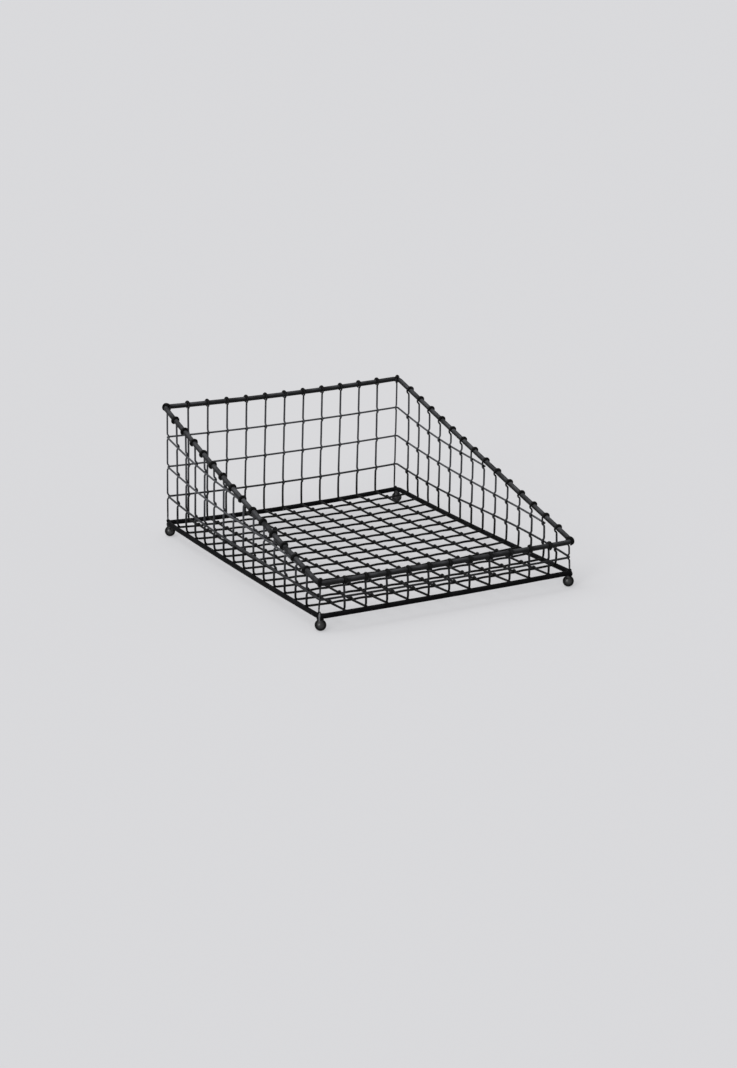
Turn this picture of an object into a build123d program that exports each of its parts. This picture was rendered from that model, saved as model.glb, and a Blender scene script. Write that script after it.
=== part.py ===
from build123d import *
from math import acos, atan2, cos, degrees, radians, sin, sqrt
import os

# Wire letter tray: a thick rim rod and a thick base frame rod carry a basket of thin wires.
# X runs left to right, Y from the low front to the high back, Z up.
# The origin is at the middle of the tray, on the surface that its feet rest on.

# Driving dimensions, mm
tray_width = 264.0        # between the centre lines of the side rods
tray_length = 330.0       # between the centre lines of the front and back rods
mesh_pitch = 21.4         # spacing of the thin wires, centred between the rods
back_height = 119.0       # centre of the rim rod above the base frame's, at the back
front_height = 30.0       # the same, at the front
rod_d = 4.8               # rim rod and base frame rod
wire_d = 2.0              # all the other wires
rod_corner_r = 6.0        # centre line of both rods, in the corners
elbow_r = 3.0             # centre line of a wire, where wall turns into floor
seat_angle = 48.0         # degrees above level, where that bend rests on the base frame rod
lean_r = 3.0              # centre line of the small bend that squares a hook to a sloping rod
notch_ease = 0.45         # how much wider a notch is bent than the wire that lies in it
ring_corner_ease = 0.35   # how much wider a ring wire is bent than the post inside its corner
hook_turn = 262.0         # degrees that a wire end goes round the rim rod
hook_lead = 0.8           # straight run below a hook
end_round = 0.4           # eased edge of a cut wire end
low_ring_height = 27.2    # ring wires above the base frame, at the back
mid_ring_height = 57.8
high_ring_height = 88.3
low_ring_fall = 0.033     # how much a ring wire falls towards the front, per unit of length
mid_ring_fall = 0.0735
high_ring_fall = 0.12
ring_overrun = 1.6        # end of a ring wire past the last upright that it crosses
ring_rim_drop = 3.6       # a ring wire stops where it comes this near below the rim rod's centre
foot_ball_d = 10.5
foot_neck_d = 6.0
foot_neck_height = 0.85   # gap that the neck bridges between the ball and the base frame
foot_neck_wrap = 1.6      # how far the neck reaches up round the base frame
foot_neck_fillet = 0.8
foot_flat_d = 3.5         # worn flat that the ball stands on
post_inset = 0.6          # corner post inside the centre line of the rods, on the diagonal
weld_gap = 0.05           # between pieces that are welded to each other

# Worked-out dimensions
bays_across = round(tray_width / mesh_pitch)
bays_along = round(tray_length / mesh_pitch)
side_x = tray_width / 2
end_y = tray_length / 2
rod_r = rod_d / 2
wire_r = wire_d / 2
ball_r = foot_ball_d / 2
foot_flat_height = sqrt(ball_r**2 - (foot_flat_d / 2) ** 2)
foot_drop = rod_r + foot_neck_height + ball_r
base_z = foot_flat_height + foot_drop
rim_slope = atan2(back_height - front_height, tray_length)
hook_r = rod_r + wire_r + weld_gap
seat_reach = elbow_r + hook_r   # from the rod's centre to the centre of the bend that rests on it
wall_inset = seat_reach * cos(radians(seat_angle)) - elbow_r
floor_z = base_z + seat_reach * sin(radians(seat_angle)) - elbow_r
wall_x = side_x - wall_inset
wall_y = end_y - wall_inset
crossing = wire_d + weld_gap
hook_shift = hook_r - wall_inset
notch_r = crossing + notch_ease
notch_half = 2 * sqrt(crossing * (notch_r - crossing / 4))
step_height = 2 * sqrt(hook_shift * (notch_r - hook_shift / 4))
ring_corner_r = crossing + ring_corner_ease
lean_rise = lean_r * sin(rim_slope)
lean_shift = lean_r * (1 - cos(rim_slope))
corner_cut = 1 - 1 / sqrt(2)    # how far a corner's arc passes inside the sharp corner, over its radius
rod_cut = rod_corner_r * corner_cut
ring_cut = wall_inset + ring_corner_r * corner_cut
post_hook_r = (rod_r + wire_r) / cos(rim_slope) + weld_gap
long_wire_places = [mesh_pitch * (k - bays_across / 2) for k in range(1, bays_across)]
cross_wire_places = [mesh_pitch * (k - bays_along / 2) for k in range(1, bays_along)]

X_DIR = Vector(1, 0, 0)
Y_DIR = Vector(0, 1, 0)
Z_DIR = Vector(0, 0, 1)
RIM_UP = Vector(0, -sin(rim_slope), cos(rim_slope))
RIM_BACK = Vector(0, cos(rim_slope), sin(rim_slope))

# Ring wires: height at the back, and fall
low_ring = (low_ring_height, low_ring_fall)
mid_ring = (mid_ring_height, mid_ring_fall)
high_ring = (high_ring_height, high_ring_fall)

# Corners: which way they lie from the middle of the tray
corners = {"front_left": (-1, -1), "front_right": (1, -1), "back_left": (-1, 1), "back_right": (1, 1)}


def rim_z(y):
    """Height of the rim rod's centre line at a place along the sloping side."""
    return base_z + front_height + (back_height - front_height) * (y + end_y) / tray_length


def ring_z(ring, y):
    """Height of a ring wire's centre line at a place along the side."""
    back_z, fall = ring
    return base_z + back_z - fall * (end_y - y)


def ring_heights(y):
    """Heights of the ring wires that pass an upright, from the lowest, where the rim rod leaves room."""
    highest = rim_z(y) - ring_rim_drop
    return [ring_z(ring, y) for ring in (low_ring, mid_ring, high_ring) if ring_z(ring, y) < highest]


# A centre line is a row of stations, each a list of arcs: start, middle and end point.
# Straight runs join the stations.
def plain_end(point):
    """A cut end, where the wire just stops."""
    return [(point, None, point)]


def arcs_about(centre, first, second, radius, turn):
    """Arcs round a centre, from the first direction towards the second, each under a half turn."""
    count = int(turn // 150) + 1
    step = radians(turn) / count

    def place(angle):
        return centre + first * (radius * cos(angle)) + second * (radius * sin(angle))

    return [(place(k * step), place((k + 0.5) * step), place((k + 1) * step)) for k in range(count)]


def elbow(corner, before, after, radius):
    """A right-angled bend at a corner, from one direction into another."""
    return arcs_about(corner - before * radius + after * radius, after * -1, before, radius, 90)


def backwards(arcs):
    """The same arcs, followed from the other end."""
    return [(end, middle, start) for start, middle, end in reversed(arcs)]


def step_aside(place, along, aside, shift):
    """A double bend that reaches a place, shifted to one side."""
    turn = acos(1 - shift / (2 * notch_r))
    reach = along * (notch_r * sin(turn))
    half_reach = along * (notch_r * sin(turn / 2))
    half_rise = aside * (notch_r * (1 - cos(turn / 2)))
    leave = place - reach * 2
    between = place - reach + aside * (shift / 2)
    end = place + aside * shift
    return [(leave, leave + half_reach + half_rise, between), (between, end - half_reach - half_rise, end)]


def notch(middle, along, aside, depth=crossing):
    """A step to one side and back, round a wire that crosses."""
    return step_aside(middle, along, aside, depth) + backwards(step_aside(middle, along * -1, aside, depth))


def upright(foot, inward, top, heights, depth=crossing, shift=hook_shift):
    """The stations of an upright, from its lowest: notches for the ring wires, then a step in, to its hook.
    A ring wire too near the top for a notch of its own lies in the crook of the step."""
    notched = [z for z in heights if z + notch_half + step_height < top]
    stepped = heights[len(notched):] or [top]
    return [
        *[notch(Vector(foot.X, foot.Y, z), Z_DIR, inward, depth) for z in notched],
        step_aside(Vector(foot.X, foot.Y, stepped[0]), Z_DIR, inward, shift),
    ]


def downwards(stations):
    """The same stations, followed from the other end."""
    return [backwards(arcs) for arcs in reversed(stations)]


def hook(rod_centre, outward, upward, radius):
    """A wire end that rises inside the rim rod, goes over it, down its outer side and under it."""
    return arcs_about(rod_centre, outward * -1, upward, radius, hook_turn)


def lean(hook_start):
    """The small bend from an upright wire into a hook that is square to the sloping rod."""
    return arcs_about(hook_start - RIM_BACK * lean_r, Y_DIR, Z_DIR, lean_r, degrees(rim_slope))


def loop(half_width, half_length, height, uphill, radius):
    """The stations of a closed rounded rectangle, from the middle of its back side and round to it."""
    left = X_DIR * -half_width
    front = Y_DIR * -half_length + Z_DIR * height(-half_length)
    back = Y_DIR * half_length + Z_DIR * height(half_length)
    return [
        plain_end(back),
        elbow(back + left, X_DIR * -1, uphill * -1, radius),
        elbow(front + left, uphill * -1, X_DIR, radius),
        elbow(front - left, X_DIR, uphill, radius),
        elbow(back - left, uphill, X_DIR * -1, radius),
        plain_end(back),
    ]


def draw_centre_line(stations):
    """Draw the stations' arcs in order, with a straight run from each station to the next."""
    last = None
    for arcs in stations:
        if last is not None and (arcs[0][0] - last).length > 1e-6:
            Line(last, arcs[0][0])
        for start, middle, end in arcs:
            if middle is not None:
                ThreePointArc(start, middle, end)
        last = arcs[-1][2]


def section_plane(path):
    """The plane square to a centre line at its start."""
    return Plane(origin=path.line @ 0, z_dir=path.line % 0)


def ease_cut_ends(part):
    """Round the edge of each flat cut end of a wire."""
    fillet(part.faces().filter_by(GeomType.PLANE).edges(), end_round)


def finish(part, name):
    """Label a piece and write its STEP file."""
    part.label = name
    export_step(part, f"parts/{name}.step")


os.makedirs("parts", exist_ok=True)

# Rim rod: a rounded rectangle in one sloping plane
with BuildPart() as rim_rod:
    with BuildLine() as rim_line:
        draw_centre_line(loop(side_x, end_y, rim_z, RIM_BACK, rod_corner_r))
    with BuildSketch(section_plane(rim_line)):
        Circle(rod_r)
    sweep()
finish(rim_rod.part, "rim_rod")

# Base frame rod: a level rounded rectangle round the floor
with BuildPart() as base_frame_rod:
    with BuildLine() as base_line:
        draw_centre_line(loop(side_x, end_y, lambda y: base_z, Y_DIR, rod_corner_r))
    with BuildSketch(section_plane(base_line)):
        Circle(rod_r)
    sweep()
finish(base_frame_rod.part, "base_frame_rod")

# Long wires: front rim, front wall, floor, back wall, back rim
front_rim_z, back_rim_z = rim_z(-end_y), rim_z(end_y)
front_rings, back_rings = ring_heights(-wall_y), ring_heights(wall_y)
for index, x in enumerate(long_wire_places, start=1):
    front_elbow, back_elbow = Vector(x, -wall_y, floor_z), Vector(x, wall_y, floor_z)
    with BuildPart() as long_wire:
        with BuildLine() as long_line:
            draw_centre_line([
                backwards(hook(Vector(x, -end_y, front_rim_z), Y_DIR * -1, Z_DIR, hook_r)),
                *downwards(upright(front_elbow, Y_DIR, front_rim_z - hook_lead, front_rings)),
                elbow(front_elbow, Z_DIR * -1, Y_DIR, elbow_r),
                *[notch(Vector(x, y, floor_z), Y_DIR, Z_DIR) for y in cross_wire_places],
                elbow(back_elbow, Y_DIR, Z_DIR, elbow_r),
                *upright(back_elbow, Y_DIR * -1, back_rim_z - hook_lead, back_rings),
                hook(Vector(x, end_y, back_rim_z), Y_DIR, Z_DIR, hook_r),
            ])
        with BuildSketch(section_plane(long_line)):
            Circle(wire_r)
        sweep()
        ease_cut_ends(long_wire)
    finish(long_wire.part, f"long_wire_{index:02d}")

# Cross wires: left rim, left wall, floor, right wall, right rim
for index, y in enumerate(cross_wire_places, start=1):
    hook_z = rim_z(y - lean_shift)
    left_rod = Vector(-side_x, y - lean_shift, hook_z)
    right_rod = Vector(side_x, y - lean_shift, hook_z)
    left_elbow, right_elbow = Vector(-wall_x, y, floor_z), Vector(wall_x, y, floor_z)
    with BuildPart() as cross_wire:
        with BuildLine() as cross_line:
            draw_centre_line([
                backwards(hook(left_rod, X_DIR * -1, RIM_UP, hook_r)),
                backwards(lean(left_rod + X_DIR * hook_r)),
                *downwards(upright(left_elbow, X_DIR, hook_z - lean_rise, ring_heights(y))),
                elbow(left_elbow, Z_DIR * -1, X_DIR, elbow_r),
                elbow(right_elbow, X_DIR, Z_DIR, elbow_r),
                *upright(right_elbow, X_DIR * -1, hook_z - lean_rise, ring_heights(y)),
                lean(right_rod - X_DIR * hook_r),
                hook(right_rod, X_DIR, RIM_UP, hook_r),
            ])
        with BuildSketch(section_plane(cross_line)):
            Circle(wire_r)
        sweep()
        ease_cut_ends(cross_wire)
    finish(cross_wire.part, f"cross_wire_{index:02d}")

# Low ring wire: closed, round all four walls, in the notches of the uprights
with BuildPart() as ring_wire_low:
    low_uphill = Vector(0, 1, low_ring_fall).normalized()
    with BuildLine() as low_line:
        draw_centre_line(loop(wall_x, wall_y, lambda y: ring_z(low_ring, y), low_uphill, ring_corner_r))
    with BuildSketch(section_plane(low_line)):
        Circle(wire_r)
    sweep()
finish(ring_wire_low.part, "ring_wire_low")

# Mid and high ring wires: left, back and right walls, ending past the last upright that they cross
for place, (name, ring) in enumerate((("mid", mid_ring), ("high", high_ring)), start=2):
    front_y = min(y for y in cross_wire_places if len(ring_heights(y)) >= place) - ring_overrun
    uphill = Vector(0, 1, ring[1]).normalized()
    with BuildPart() as ring_wire:
        with BuildLine() as ring_line:
            draw_centre_line([
                plain_end(Vector(-wall_x, front_y, ring_z(ring, front_y))),
                elbow(Vector(-wall_x, wall_y, ring_z(ring, wall_y)), uphill, X_DIR, ring_corner_r),
                elbow(Vector(wall_x, wall_y, ring_z(ring, wall_y)), X_DIR, uphill * -1, ring_corner_r),
                plain_end(Vector(wall_x, front_y, ring_z(ring, front_y))),
            ])
        with BuildSketch(section_plane(ring_line)):
            Circle(wire_r)
        sweep()
        ease_cut_ends(ring_wire)
    finish(ring_wire.part, f"ring_wire_{name}")

# Corner posts: upright wires that stand on the corners of the base frame and hook over the rim rod
for name, (sx, sy) in corners.items():
    outward = Vector(sx, sy, 0).normalized()
    sharp_corner = Vector(sx * side_x, sy * end_y, rim_z(sy * end_y))
    rod_centre = sharp_corner - (X_DIR * sx + RIM_BACK * sy) * rod_cut
    post = rod_centre - outward * post_inset
    post_foot = Vector(post.X, post.Y, base_z + rod_r + weld_gap)
    ring_corner = Vector(sx * (side_x - ring_cut), sy * (end_y - ring_cut), post.Z)
    notch_depth = (post - ring_corner).dot(outward) + crossing
    step_depth = post_hook_r - post_inset
    rings = ring_heights(ring_corner.Y)
    with BuildPart() as corner_post:
        with BuildLine() as post_line:
            draw_centre_line([
                plain_end(post_foot),
                *upright(post_foot, outward * -1, post.Z - hook_lead, rings, notch_depth, step_depth),
                hook(rod_centre, outward, Z_DIR, post_hook_r),
            ])
        with BuildSketch(section_plane(post_line)):
            Circle(wire_r)
        sweep()
        ease_cut_ends(corner_post)
    finish(corner_post.part, f"corner_post_{name}")

# Feet: balls under the corners of the base frame, each with a neck that cups the rod
neck_r = foot_neck_d / 2
neck_join = sqrt(ball_r**2 - neck_r**2)
neck_top = foot_drop - rod_r + foot_neck_wrap
for name, (sx, sy) in corners.items():
    ball_centre = Vector(sx * (side_x - rod_cut), sy * (end_y - rod_cut), base_z - foot_drop)
    with BuildPart() as foot:
        with BuildSketch(Plane(origin=ball_centre, x_dir=(1, 0, 0), z_dir=(0, -1, 0))) as foot_profile:
            with BuildLine():
                Polyline((0, neck_top), (0, -foot_flat_height), (foot_flat_d / 2, -foot_flat_height))
                ThreePointArc((foot_flat_d / 2, -foot_flat_height), (ball_r, 0), (neck_r, neck_join))
                Polyline((neck_r, neck_join), (neck_r, neck_top), (0, neck_top))
            make_face()
            fillet(foot_profile.vertices().sort_by_distance((neck_r, neck_join))[0], foot_neck_fillet)
        revolve(axis=Axis(ball_centre, (0, 0, 1)))
        with Locations((sx * (side_x - rod_corner_r), sy * (end_y - rod_corner_r), base_z)):
            Torus(rod_corner_r, rod_r + weld_gap, mode=Mode.SUBTRACT)
    finish(foot.part, f"foot_{name}")
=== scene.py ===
"""Looks of the wire letter tray: painted rods, hand-bent wires, welds, ball feet, floor, light and camera."""

from math import acos, atan2, ceil, cos, degrees, hypot, pi, radians, sin, sqrt

import bpy
from mathutils import Matrix, Vector


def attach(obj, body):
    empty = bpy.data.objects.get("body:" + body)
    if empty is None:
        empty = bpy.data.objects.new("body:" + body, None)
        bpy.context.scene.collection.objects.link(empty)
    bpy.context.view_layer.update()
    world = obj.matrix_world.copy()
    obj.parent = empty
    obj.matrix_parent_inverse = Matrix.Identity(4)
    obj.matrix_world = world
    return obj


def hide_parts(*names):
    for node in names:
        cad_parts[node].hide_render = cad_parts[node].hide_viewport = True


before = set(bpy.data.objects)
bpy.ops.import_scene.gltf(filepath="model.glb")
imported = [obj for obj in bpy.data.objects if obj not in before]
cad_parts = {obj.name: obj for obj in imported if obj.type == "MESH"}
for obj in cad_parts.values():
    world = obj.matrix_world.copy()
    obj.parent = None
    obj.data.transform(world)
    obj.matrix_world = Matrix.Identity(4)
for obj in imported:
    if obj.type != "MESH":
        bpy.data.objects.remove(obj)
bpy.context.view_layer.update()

MM = 0.001

# ---- Sizes of the tray, in millimetres, as its solids have them ----
TRAY_WIDTH, TRAY_LENGTH, MESH_PITCH = 264.0, 330.0, 21.4
BACK_HEIGHT, FRONT_HEIGHT = 119.0, 30.0
ROD_D, WIRE_D = 4.8, 2.0
ROD_CORNER_R, ELBOW_R, LEAN_R = 6.0, 3.0, 3.0
SEAT_ANGLE = radians(48.0)
NOTCH_EASE, RING_CORNER_EASE = 0.45, 0.35
HOOK_TURN, HOOK_LEAD = 262.0, 0.8
RINGS = ((27.2, 0.033), (57.8, 0.0735), (88.3, 0.12))      # height at the back, fall towards the front
RING_OVERRUN, RING_RIM_DROP = 1.6, 3.6
FOOT_BALL_D, FOOT_NECK_HEIGHT, FOOT_FLAT_D = 10.5, 0.85, 3.5
POST_INSET = 0.6
WELD_GAP = 0.05

SIDE_X, END_Y = TRAY_WIDTH / 2, TRAY_LENGTH / 2
ROD_R, WIRE_R, BALL_R = ROD_D / 2, WIRE_D / 2, FOOT_BALL_D / 2
BAYS_ACROSS, BAYS_ALONG = round(TRAY_WIDTH / MESH_PITCH), round(TRAY_LENGTH / MESH_PITCH)
BASE_Z = sqrt(BALL_R ** 2 - (FOOT_FLAT_D / 2) ** 2) + ROD_R + FOOT_NECK_HEIGHT + BALL_R
RIM_SLOPE = atan2(BACK_HEIGHT - FRONT_HEIGHT, TRAY_LENGTH)
HOOK_R = ROD_R + WIRE_R + WELD_GAP
WALL_INSET = (ELBOW_R + HOOK_R) * cos(SEAT_ANGLE) - ELBOW_R
FLOOR_Z = BASE_Z + (ELBOW_R + HOOK_R) * sin(SEAT_ANGLE) - ELBOW_R
WALL_X, WALL_Y = SIDE_X - WALL_INSET, END_Y - WALL_INSET
CROSSING = WIRE_D + WELD_GAP
HOOK_SHIFT = HOOK_R - WALL_INSET
NOTCH_R = CROSSING + NOTCH_EASE
NOTCH_HALF = 2 * sqrt(CROSSING * (NOTCH_R - CROSSING / 4))
STEP_HEIGHT = 2 * sqrt(HOOK_SHIFT * (NOTCH_R - HOOK_SHIFT / 4))
RING_CORNER_R = CROSSING + RING_CORNER_EASE
LEAN_RISE, LEAN_SHIFT = LEAN_R * sin(RIM_SLOPE), LEAN_R * (1 - cos(RIM_SLOPE))
CORNER_CUT = 1 - 1 / sqrt(2)
ROD_CUT = ROD_CORNER_R * CORNER_CUT
RING_CUT = WALL_INSET + RING_CORNER_R * CORNER_CUT
POST_HOOK_R = (ROD_R + WIRE_R) / cos(RIM_SLOPE) + WELD_GAP
LONG_WIRE_PLACES = [MESH_PITCH * (k - BAYS_ACROSS / 2) for k in range(1, BAYS_ACROSS)]
CROSS_WIRE_PLACES = [MESH_PITCH * (k - BAYS_ALONG / 2) for k in range(1, BAYS_ALONG)]
CORNERS = {"front_left": (-1, -1), "front_right": (1, -1), "back_left": (-1, 1), "back_right": (1, 1)}

X_DIR, Y_DIR, Z_DIR = Vector((1, 0, 0)), Vector((0, 1, 0)), Vector((0, 0, 1))
RIM_UP = Vector((0, -sin(RIM_SLOPE), cos(RIM_SLOPE)))
RIM_BACK = Vector((0, cos(RIM_SLOPE), sin(RIM_SLOPE)))

# ---- How finely the wires are drawn ----
ARC_STEP = 12.0            # degrees
RUN_STEP = 3.0             # along a straight run
SAME_POINT = 1e-6          # points nearer to each other than this are one
WIRE_SIDES, ROD_SIDES, WELD_SIDES = 14, 28, 12
END_ROUND = 0.7            # paint rounds a cut end
END_CLEAR = 1.05 * END_ROUND
END_RINGS = 5
RUB_POINTS = 9             # how many points in from an end the paint is rubbed

# ---- How the wires and rods wander, and how the paint swells them: a swell is a share of the radius ----
WIRE_WANDER, ROD_WANDER, CREASE_WANDER, RUN_WANDER = 0.1, 0.15, 0.0, 0.05
WIRE_UNEVEN, ROD_UNEVEN, CREASE_UNEVEN, RUN_UNEVEN = 0.05, 0.02, 0.08, 0.10     # random swell
WANDER_LENGTH, UNEVEN_LENGTH = 30.0, 9.0
BUTT_WELD_REACH, BUTT_WELD_SWELL = 5.0, 0.05     # where the two ends of a rod are welded, behind
CRIMP, CRIMP_STEPS = 0.45, 8     # how far a cross wire dips under each long wire, and points per dip
GATHER_REACH, GATHER_SWELL = 6.5, -0.08    # near a rod a wire's paint is wiped thin and stays black
SHADED_BELOW, PALER_ABOVE = 17.0, 60.0      # heights: low down the colour is darker and keeps little dust, as painted shade; higher up it fades and takes dust
FLOOR_SWELL, WALL_SWELL = 0.08, -0.05      # paint has run down: it is thicker on the floor mesh
POST_SWELL, POST_RUB = -0.15, 0.35         # the corner posts stand out and are rubbed all along
CREASE_BEGIN, CREASE_TURN = 12, 236        # degrees: the paint in the creases of a hook
CREASE, CORNER_CREASE = (0.15, 1.80), (0.60, 1.80)     # its lift off the rod, its radius
CREASE_TAPER, RUN_TAPER = (0.45, 0.2), (0.5, 0.25)     # thickness at a tip, growth at each point in from it
OWN_R = 1.0                # the radius of a row that gives its own radii in millimetres

# ---- How hands and paper have bent the tray, at the middle of each side; the corners stay true ----
# A sag is that of the whole wall, and what the base frame rod and the rim rod have on top of it.
BACK_SAG, FRONT_SAG = (1.45, 1.55, 0.65), (0.0, 0.7, 0.5)
RIGHT_SAG, LEFT_SAG = (1.25, 0.0, -0.60), (1.25, 0.3, 2.10)
FLOOR_SAG = 0.65
BACK_SLIDE, FRONT_SLIDE, LEFT_SLIDE, RIGHT_SLIDE = -2.45, 0.20, 2.3, -2.6
RIGHT_PINCH, BACK_BULGE = 1.0, 1.2
# The lowest bays lean behind and in front. They bow at the sides: evenly, plus a part that grows to the back.
BACK_LEAN, FRONT_LEAN = -1.2, 0.9
LEFT_BOW, RIGHT_BOW = (-0.5, -0.6), (-0.1, -1.1)
BOW_START, BOW_END, BOW_RIM_ROOM = (2.5, 9), (14, 72), (4, 14)     # over the base frame, and under the rim
BOW_BAND_BEGIN, BOW_BAND = 8, 4            # how far inside a side wall its bow begins, and is whole
# Sag and sway of the low, middle and high ring wire, on the left and on the right.
RING_SWAYS = (((1.1, 1.2), (-1.35, 2.1)), ((0.7, 2.1), (0.4, 1.0)), ((0.0, 3.0), (0.2, 3.2)))
RING_LIFT = 0.7                            # at the back corners; lifts fade out below the rim rod
LIFT_FADE = 3                              # over this many times the room that a ring wire keeps from it
LOW_RING_DROP, LOW_RING_DIP = 1.6, 1.0     # of its whole front, and more at the middle of it
RING_END_RISE = 0.6                        # the end of a ring wire comes this much nearer to the rim rod
# How far a bend holds up towards the corners, where 2 is a plain arch.
SIDE_BOW_HOLD, END_LEAN_HOLD, FLOOR_HOLD, SLIDE_X_HOLD, SLIDE_Y_HOLD = 6, 8, 4, 4, 12
ROD_HOLD = 5                               # how closely a rod's own sag stays at the rod
POST_LEAN = {"front_left": Vector((-1.2, 1.3, 0)), "front_right": Vector((1.0, -0.9, 0)),
             "back_left": Vector((-1.9, 1.7, 0)), "back_right": Vector((-1.4, 1.6, 0))}

# ---- Half sizes of the weld lumps: along the wire or rod, across it, and out from it ----
FLOOR_LUMP, RING_LUMP = (3.1, 1.6, 1.3), (1.7, 1.6, 1.5)
SEAT_LUMP = (1.7, 1.7, 0.7)
POST_LUMP, CORNER_LUMP = (1.6, 1.7, 1.7), (3.6, 3.1, 3.0)
POST_LUMP_LEAN, POST_LUMP_SINK = 0.6, 0.2          # share of the post's lean, depth below the rod's top
CORNER_LUMP_OUT, CORNER_LUMP_DROP = 0.7, 1.3
ROUGHEN, ROUGHEN_LENGTH, SIZE_SPREAD = 0.30, 1.8, 0.15     # a lump's skin, and how much the lumps differ
# The run of weld on one corner: how far out from the rod's centre and above it, from top to bottom.
RUN_R = 1.0
RUN_LINE = ((1.5, 3.1), (2.3, 2.3), (2.75, 1.2), (2.95, 0.0),
            (2.95, -1.2), (2.85, -2.4), (2.9, -3.6), (3.2, -4.6))

# ---- Paint, weld and dust, with a painted highlight on top and painted shade low down: linear colours, and how each changes the finish ----
# The pale grey on what faces up is settled dust and also a painted highlight, where the light falls from
# above.
FADED_BLACK, DUST_AND_HIGHLIGHT_GREY, BARE_METAL = (0.057, 0.059, 0.065), (0.188, 0.192, 0.208), (0.145, 0.147, 0.155)
TONE_PATCH, TONE_SPAN = 10.0, (0.3, 0.7)
GATHERED_COVER = 0.88      # how much of the fading, and of the dust with its painted highlight, is missing where a wire runs near a rod
SHADED_DUST_SHARE = 0.2           # share of the dust and highlight that is left low down; the rest is painted shade
UNEVEN_GLOSS, DUST_ROUGHENS, BARE_SMOOTHS, BARE_METALLIC = 0.22, 0.35, 0.08, 0.75
DUST_AND_LIGHT_SLOPES, DUST_AND_LIGHT_PATCHES = (0.05, 0.95), (0.30, 0.66)
RUB_WEIGHT, BARE_SPAN = 0.28, (0.74, 0.80)
COAT_ROUGHNESS, COAT_IOR = 0.38, 1.65
COAT_BLEND, COAT_FADE = 0.5, (0.02, 0.34)      # the coat is glossy square on, and dull where it turns away

# ---- Floor, lamps and camera: lengths in metres, the sensor in millimetres ----
FLOOR_HALF, FLOOR_COLOR, FLOOR_FLATNESS = 200.0, (0.695, 0.695, 0.712), 0.6
SKY_LEVEL, LAMP_LEVEL = 0.50, 1.20
OVERHEAD_SPREAD, OVERHEAD_FROM = radians(60), (-0.35, 0.25, 1.0)
FRONT_SPREAD, FRONT_FROM = radians(24), (-0.87, -0.45, 0.45)
AZIMUTH, ELEVATION, DISTANCE = radians(-28.669), radians(16.841), 2.1614
OFF_RIGHT, OFF_UP = -0.00624, -0.01227
FOCAL_PX, LONG_SIDE_PX, SENSOR = 2236.9, 1068, 36.0
FAR_CLIP = 1000.0


def rim_z(y):
    """Height of the rim rod's centre along the sloping side."""
    return BASE_Z + FRONT_HEIGHT + (BACK_HEIGHT - FRONT_HEIGHT) * (y + END_Y) / TRAY_LENGTH


def ring_z(ring, y):
    """Height of a ring wire's centre along the side."""
    height, fall = ring
    return BASE_Z + height - fall * (END_Y - y)


def climb(ring):
    """The direction of a ring wire along the side, towards the back."""
    return Vector((0, 1, ring[1])).normalized()


def ring_heights(y):
    """Heights of the ring wires that pass an upright, where the rim rod leaves room."""
    highest = rim_z(y) - RING_RIM_DROP
    return [ring_z(ring, y) for ring in RINGS if ring_z(ring, y) < highest]


def outward_from(sx, sy):
    """The way out from a corner, level and on its diagonal."""
    return Vector((sx, sy, 0)).normalized()


def rim_corner(sx, sy):
    """Centre of the rim rod at the middle of a corner's bend."""
    sharp = Vector((sx * SIDE_X, sy * END_Y, rim_z(sy * END_Y)))
    return sharp - (X_DIR * sx + RIM_BACK * sy) * ROD_CUT


def base_corner(sx, sy):
    """Centre of the base frame rod at the middle of a corner's bend."""
    return Vector((sx * (SIDE_X - ROD_CUT), sy * (END_Y - ROD_CUT), BASE_Z))


# ---- Centre lines: each of these gives points, and straight runs join them ----
def arc(centre, first, second, radius, turn, begin=0.0):
    """Points round a centre, from the first direction towards the second, in degrees."""
    count = max(2, ceil(abs(turn) / ARC_STEP))
    angles = [radians(begin + turn * k / count) for k in range(count + 1)]
    return [centre + first * (radius * cos(a)) + second * (radius * sin(a)) for a in angles]


def elbow(corner, before, after, radius):
    """A right-angled bend, from one direction into another."""
    return arc(corner - before * radius + after * radius, after * -1, before, radius, 90)


def step_aside(goal, along, aside, shift):
    """A double bend that reaches its goal, shifted to one side."""
    turn = degrees(acos(1 - shift / (2 * NOTCH_R)))
    leave = goal - along * (2 * NOTCH_R * sin(radians(turn)))
    return (arc(leave + aside * NOTCH_R, aside * -1, along, NOTCH_R, turn)
            + arc(goal + aside * (shift - NOTCH_R), aside, along, NOTCH_R, turn, -turn)[1:])


def notch(middle, along, aside, depth=CROSSING):
    """A step to one side and back, round a wire that crosses."""
    return step_aside(middle, along, aside, depth) + step_aside(middle, along * -1, aside, depth)[-2::-1]


def upright(foot, inward, top, heights, depth=CROSSING, shift=HOOK_SHIFT):
    """An upright from its lowest: notches for the ring wires, then a step in, to its hook."""
    notched = [z for z in heights if z + NOTCH_HALF + STEP_HEIGHT < top]
    stepped = heights[len(notched):] or [top]
    return [*[notch(Vector((foot.x, foot.y, z)), Z_DIR, inward, depth) for z in notched],
            step_aside(Vector((foot.x, foot.y, stepped[0])), Z_DIR, inward, shift)]


def hook(rod_centre, outward, upward, radius):
    """A wire end that rises inside the rim rod and goes over it and under it."""
    return arc(rod_centre, outward * -1, upward, radius, HOOK_TURN)


def lean(hook_start):
    """The small bend from an upright into a hook that is square to the sloping rod."""
    return arc(hook_start - RIM_BACK * LEAN_R, Y_DIR, Z_DIR, LEAN_R, degrees(RIM_SLOPE))


def backwards(stations):
    """The same stations, followed from the other end."""
    return [points[::-1] for points in reversed(stations)]


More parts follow.
